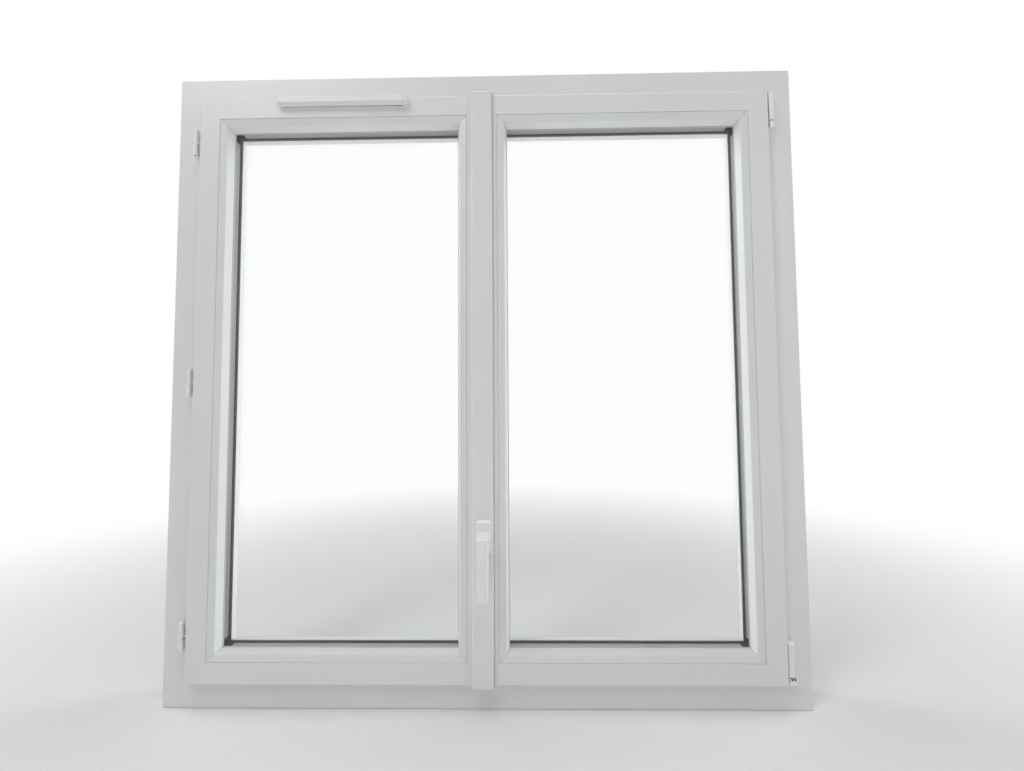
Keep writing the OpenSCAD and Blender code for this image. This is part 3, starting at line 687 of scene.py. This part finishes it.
class WindowFinish(bpy.types.PropertyGroup):
    profile_colour: bpy.props.FloatVectorProperty(
        name="Profile", description="Colour of the white plastic profiles",
        default=(0.76, 0.775, 0.785), **COLOUR_FIELD)
    bead_colour: bpy.props.FloatVectorProperty(
        name="Beads", description="Colour of the glazing beads",
        default=(0.74, 0.755, 0.765), **COLOUR_FIELD)
    seal_colour: bpy.props.FloatVectorProperty(
        name="Seals", description="Colour of the rubber seals and gaskets",
        default=(0.03, 0.03, 0.033), **COLOUR_FIELD)
    bead_lip_colour: bpy.props.FloatVectorProperty(
        name="Bead lip", description="Colour of the beads' soft lip against the pane",
        default=(0.47, 0.48, 0.47), **COLOUR_FIELD)
    spacer_colour: bpy.props.FloatVectorProperty(
        name="Spacer bar", description="Colour of the bar between the panes",
        default=(0.36, 0.35, 0.335), **COLOUR_FIELD)
    glass_tint: bpy.props.FloatVectorProperty(
        name="Glass", description="Tint of the panes",
        default=(0.985, 0.995, 0.99), **COLOUR_FIELD)
    metal_colour: bpy.props.FloatVectorProperty(
        name="Handle and hinges", description="Colour of the coated metal",
        default=(0.82, 0.83, 0.835), **COLOUR_FIELD)
    vent_colour: bpy.props.FloatVectorProperty(
        name="Vent", description="Colour of the vent's mouldings",
        default=(0.8, 0.81, 0.825), **COLOUR_FIELD)
    gloss: bpy.props.FloatProperty(
        name="Profile roughness", description="Roughness of the profiles' satin surface",
        min=0.05, max=0.9, default=0.34)
    seam: bpy.props.FloatProperty(
        name="Weld seam", description="Half width of the groove along a welded corner",
        min=0, max=0.004, default=0.0011, **LENGTH_FIELD)
    edge_round: bpy.props.FloatProperty(
        name="Edge rounding", description="Rounding of the hardware's and mouldings' edges",
        min=0.0001, max=0.002, default=0.0007, **LENGTH_FIELD)
    lip_radius: bpy.props.FloatProperty(
        name="Lip radius", description="Radius of the rubber noses beside the panes",
        min=0.0005, max=0.002, default=0.001, **LENGTH_FIELD)
    bore_pitch: bpy.props.FloatProperty(
        name="Bore pitch", description="Distance between the bores of the spacer bars",
        min=0.003, max=0.02, default=0.006, **LENGTH_FIELD)
    mitre: bpy.props.FloatProperty(
        name="Bead mitre", description="Half width of the dark line in the beads' dry mitres",
        min=0.0001, max=0.002, default=0.0006, **LENGTH_FIELD)
    key_leg: bpy.props.FloatProperty(
        name="Corner key", description="Length of the spacer's corner keys along each bar",
        min=0.006, max=0.03, default=0.014, **LENGTH_FIELD)


class WindowStage(bpy.types.PropertyGroup):
    eye: bpy.props.FloatVectorProperty(
        name="Camera", description="Place of the camera", subtype="TRANSLATION",
        unit="LENGTH", size=3, default=(0.0734, -0.9212, 0.6022))
    turn: bpy.props.FloatVectorProperty(
        name="Turn", description="Yaw to the right, pitch up and roll of the camera",
        subtype="EULER", unit="ROTATION", size=3,
        default=(math.radians(-0.872), math.radians(2.795), math.radians(-0.373)))
    lens: bpy.props.FloatProperty(
        name="Focal length", description="Focal length on a 36 mm sensor, in millimetres",
        min=8, max=100, default=SENSOR * FOCAL_PIXELS / IMAGE_WIDTH)
    floor_colour: bpy.props.FloatVectorProperty(
        name="Floor", description="Colour of the floor",
        default=(0.82, 0.82, 0.81), **COLOUR_FIELD)


# Operators


class WINDOW_OT_profiles(bpy.types.Operator):
    """Finish the frame members, the sash members and the beads"""

    bl_idname = "window.profiles"
    bl_label = "Profiles"

    def execute(self, context):
        look = context.scene.window_finish
        rings = {"frame": FRAME_RING, "left": LEFT_RING, "right": RIGHT_RING}
        for part, names in PROFILE_NODES.items():
            # Only the frame gets a painted shadow line, beside the sashes.
            shade_lines = [SASH_SHADE_LINE] if part == "frame" else []
            dress(names, plastic_profile(f"white_profile_{part}", tuple(look.profile_colour),
                                         look.gloss, rings[part], look.seam, shade_lines))
        for part, names in BEAD_NODES.items():
            dress(names, plastic_profile(f"white_bead_{part}", tuple(look.bead_colour),
                                         look.gloss, rings[part], look.mitre,
                                         seam_dark=MITRE_DARK))
        dress(STRIP_NODES, plastic_profile("white_strip", tuple(look.profile_colour), look.gloss,
                                           FAR_RING, FAR_SEAM))
        return {"FINISHED"}


class WINDOW_OT_glazing(bpy.types.Operator):
    """Finish the panes, the spacer bars, the gaskets and the seals"""

    bl_idname = "window.glazing"
    bl_label = "Glazing and seals"

    def execute(self, context):
        look = context.scene.window_finish
        dress(PANE_NODES, float_glass("clear_pane", tuple(look.glass_tint)))
        bar = spacer_bar("satin_spacer", tuple(look.spacer_colour))
        black = rubber("black_seal", tuple(look.seal_colour))
        grey = rubber("grey_lip", tuple(look.bead_lip_colour))
        bore = bore_dark("spacer_bore", BORE_SHADE_AND_KEY_BLACK)
        dress(SPACER_NODES, bar)
        dress(SEAL_NODES, black)
        dress(LIP_NODES, grey)
        dress(GASKET_NODES, rubber("glazing_rubber", tuple(look.seal_colour),
                                   tuple(look.bead_lip_colour)))
        for side, sign, ring in (("left", -1, LEFT_RING), ("right", 1, RIGHT_RING)):
            rubber_nose(f"{side}_bead_lip", ring, BEAD_LIP, look.lip_radius, grey)
            rubber_nose(f"{side}_pane_seal_nose", ring, PANE_SEAL_NOSE, look.lip_radius, black)
            # The bores are flat discs of painted shade; the keys are real parts in the same dark
            # material.
            perforations(f"{side}_spacer_bores", ring, look.bore_pitch, bore)
            corner_keys(f"{side}_spacer_keys", ring, look.key_leg, sign, bore)
        return {"FINISHED"}


class WINDOW_OT_hardware(bpy.types.Operator):
    """Round over and finish the handle, the hinges and the covers; finish the pins"""

    bl_idname = "window.hardware"
    bl_label = "Handle and hinges"

    def execute(self, context):
        look = context.scene.window_finish
        metal = tuple(look.metal_colour)
        handle = coated_metal("handle_coat", metal, HANDLE_GLOSS)
        hinge = coated_metal("hinge_coat", metal, HINGE_GLOSS)
        for node, share in HANDLE_ROUNDING.items():
            softened(node, look.edge_round * share, handle)
        low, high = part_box("right_corner_base")
        middle = (low.x + high.x) / 2
        # The corner base's coat carries the painted shade of its pockets.
        base = coated_metal("corner_base_coat", metal, HINGE_GLOSS,
                            [middle + place for place in POCKETS],
                            Vector((middle, low.y, high.z - POCKET_DEPTH)))
        for node in HINGE_NODES:
            softened(node, look.edge_round * HINGE_ROUNDING,
                     base if node == "right_corner_base" else hinge)
        dress(PIN_NODES, plain_steel("pin_steel", PIN_STEEL))
        return {"FINISHED"}


class WINDOW_OT_vent(bpy.types.Operator):
    """Round over and finish the vent, its hood and the drain covers"""

    bl_idname = "window.vent"
    bl_label = "Vent and drains"

    def execute(self, context):
        look = context.scene.window_finish
        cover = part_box("vent_cover")
        plastic = moulded_plastic("vent_moulding", tuple(look.vent_colour), VENT_GLOSS,
                                  (cover[0].x, cover[1].x))
        for node in (*VENT_NODES, "drain_covers"):
            softened(node, look.edge_round * MOULDING_ROUNDING, plastic)
        return {"FINISHED"}


class WINDOW_OT_stage(bpy.types.Operator):
    """Make the floor, the lamps, the world and the camera"""

    bl_idname = "window.stage"
    bl_label = "Floor, light and camera"

    def execute(self, context):
        stage = context.scene.window_stage
        self.floor(tuple(stage.floor_colour))
        self.world(context)
        for name, lamp in LAMPS.items():
            self.lamp(name, *lamp)
        for name, towards in DAYLIGHT.items():
            self.daylight(name, towards)
        for name in UNSEEN_LAMPS:
            lamp = bpy.data.objects[name]
            lamp.visible_camera = lamp.visible_glossy = lamp.visible_transmission = False
        self.camera(context, stage)
        context.scene.view_settings.view_transform = "Standard"
        return {"FINISHED"}

    def floor(self, colour):
        mesh = bpy.data.meshes.new("floor")
        shape = bmesh.new()
        bmesh.ops.create_circle(shape, cap_ends=True, segments=96, radius=FLOOR_RADIUS)
        bmesh.ops.translate(shape, verts=shape.verts, vec=(0, 0, CAD_BOX[0].z - FLOOR_DROP))
        shape.to_mesh(mesh)
        shape.free()
        floor = add_object("floor", mesh)
        finish = Finish("pale_floor", colour, roughness=0.85)
        far = finish.node("ShaderNodeVectorMath", {"operation": "LENGTH"}, {0: finish.place()},
                          "Value")
        white = finish.node("ShaderNodeEmission", inputs={"Color": WHITE, "Strength": 1.0})
        finish.mix(far.ramp(*FLOOR_FADE) * finish.rays(SEEN_BY), finish.principled, white)
        mesh.materials.append(finish.material)

    def world(self, context):
        """White where it is seen, and a dim even light on the window."""
        world = bpy.data.worlds.new("soft_world")
        context.scene.world = world
        world.use_nodes = True
        shader = Shader(world.node_tree, "ShaderNodeOutputWorld")
        light, white = (shader.node("ShaderNodeBackground", inputs={
            "Color": WHITE, "Strength": strength}) for strength in (EVEN_LIGHT, 1.0))
        shader.mix(shader.rays(SEEN_BY), light, white)

    def lamp(self, name, place, target, size, watts):
        data = bpy.data.lights.new(name, "AREA")
        data.shape, data.energy = "RECTANGLE", watts
        data.size, data.size_y = size
        lamp = add_object(name, data)
        lamp.location = place
        aim = Vector(target) - Vector(place)
        lamp.rotation_euler = aim.to_track_quat("-Z", "Y").to_euler()

    def daylight(self, name, towards):
        """Wide, even light from far away, which comes from the way given."""
        data = bpy.data.lights.new(name, "SUN")
        data.energy, data.angle = DAYLIGHT_STRENGTH, DAYLIGHT_ANGLE
        lamp = add_object(name, data)
        lamp.rotation_euler = Vector(towards).to_track_quat("Z", "Y").to_euler()

    def camera(self, context, stage):
        yaw, pitch, roll = stage.turn
        ahead = Vector((math.sin(yaw) * math.cos(pitch), math.cos(yaw) * math.cos(pitch),
                        math.sin(pitch)))
        level = Vector((math.cos(yaw), -math.sin(yaw), 0))
        upright = level.cross(ahead)
        right = math.cos(roll) * level + math.sin(roll) * upright
        up = -math.sin(roll) * level + math.cos(roll) * upright
        data = bpy.data.cameras.new("camera")
        data.sensor_width, data.lens = SENSOR, stage.lens
        data.clip_start, data.clip_end = 0.01, 100
        camera = add_object("camera", data)
        camera.matrix_world = Matrix((
            (right.x, up.x, -ahead.x, stage.eye[0]),
            (right.y, up.y, -ahead.y, stage.eye[1]),
            (right.z, up.z, -ahead.z, stage.eye[2]),
            (0, 0, 0, 1),
        ))
        context.scene.camera = camera


class WINDOW_PT_panel(bpy.types.Panel):
    """The window's finishes and its stage"""

    bl_label = "Window"
    bl_idname = "WINDOW_PT_panel"
    bl_space_type = "VIEW_3D"
    bl_region_type = "UI"
    bl_category = "Window"

    def draw(self, context):
        for group in (context.scene.window_finish, context.scene.window_stage):
            for name in group.__annotations__:
                self.layout.prop(group, name)
        for operator in OPERATORS:
            self.layout.operator(operator.bl_idname)


OPERATORS = (WINDOW_OT_profiles, WINDOW_OT_glazing, WINDOW_OT_hardware, WINDOW_OT_vent,
             WINDOW_OT_stage)
CLASSES = (WindowFinish, WindowStage, *OPERATORS, WINDOW_PT_panel)


def register():
    for cls in CLASSES:
        bpy.utils.register_class(cls)
    bpy.types.Scene.window_finish = bpy.props.PointerProperty(type=WindowFinish)
    bpy.types.Scene.window_stage = bpy.props.PointerProperty(type=WindowStage)


def unregister():
    del bpy.types.Scene.window_stage
    del bpy.types.Scene.window_finish
    for cls in reversed(CLASSES):
        bpy.utils.unregister_class(cls)


def main():
    register()
    bpy.ops.window.profiles()
    bpy.ops.window.glazing()
    bpy.ops.window.hardware()
    bpy.ops.window.vent()
    bpy.ops.window.stage()


if __name__ == "__main__":
    main()
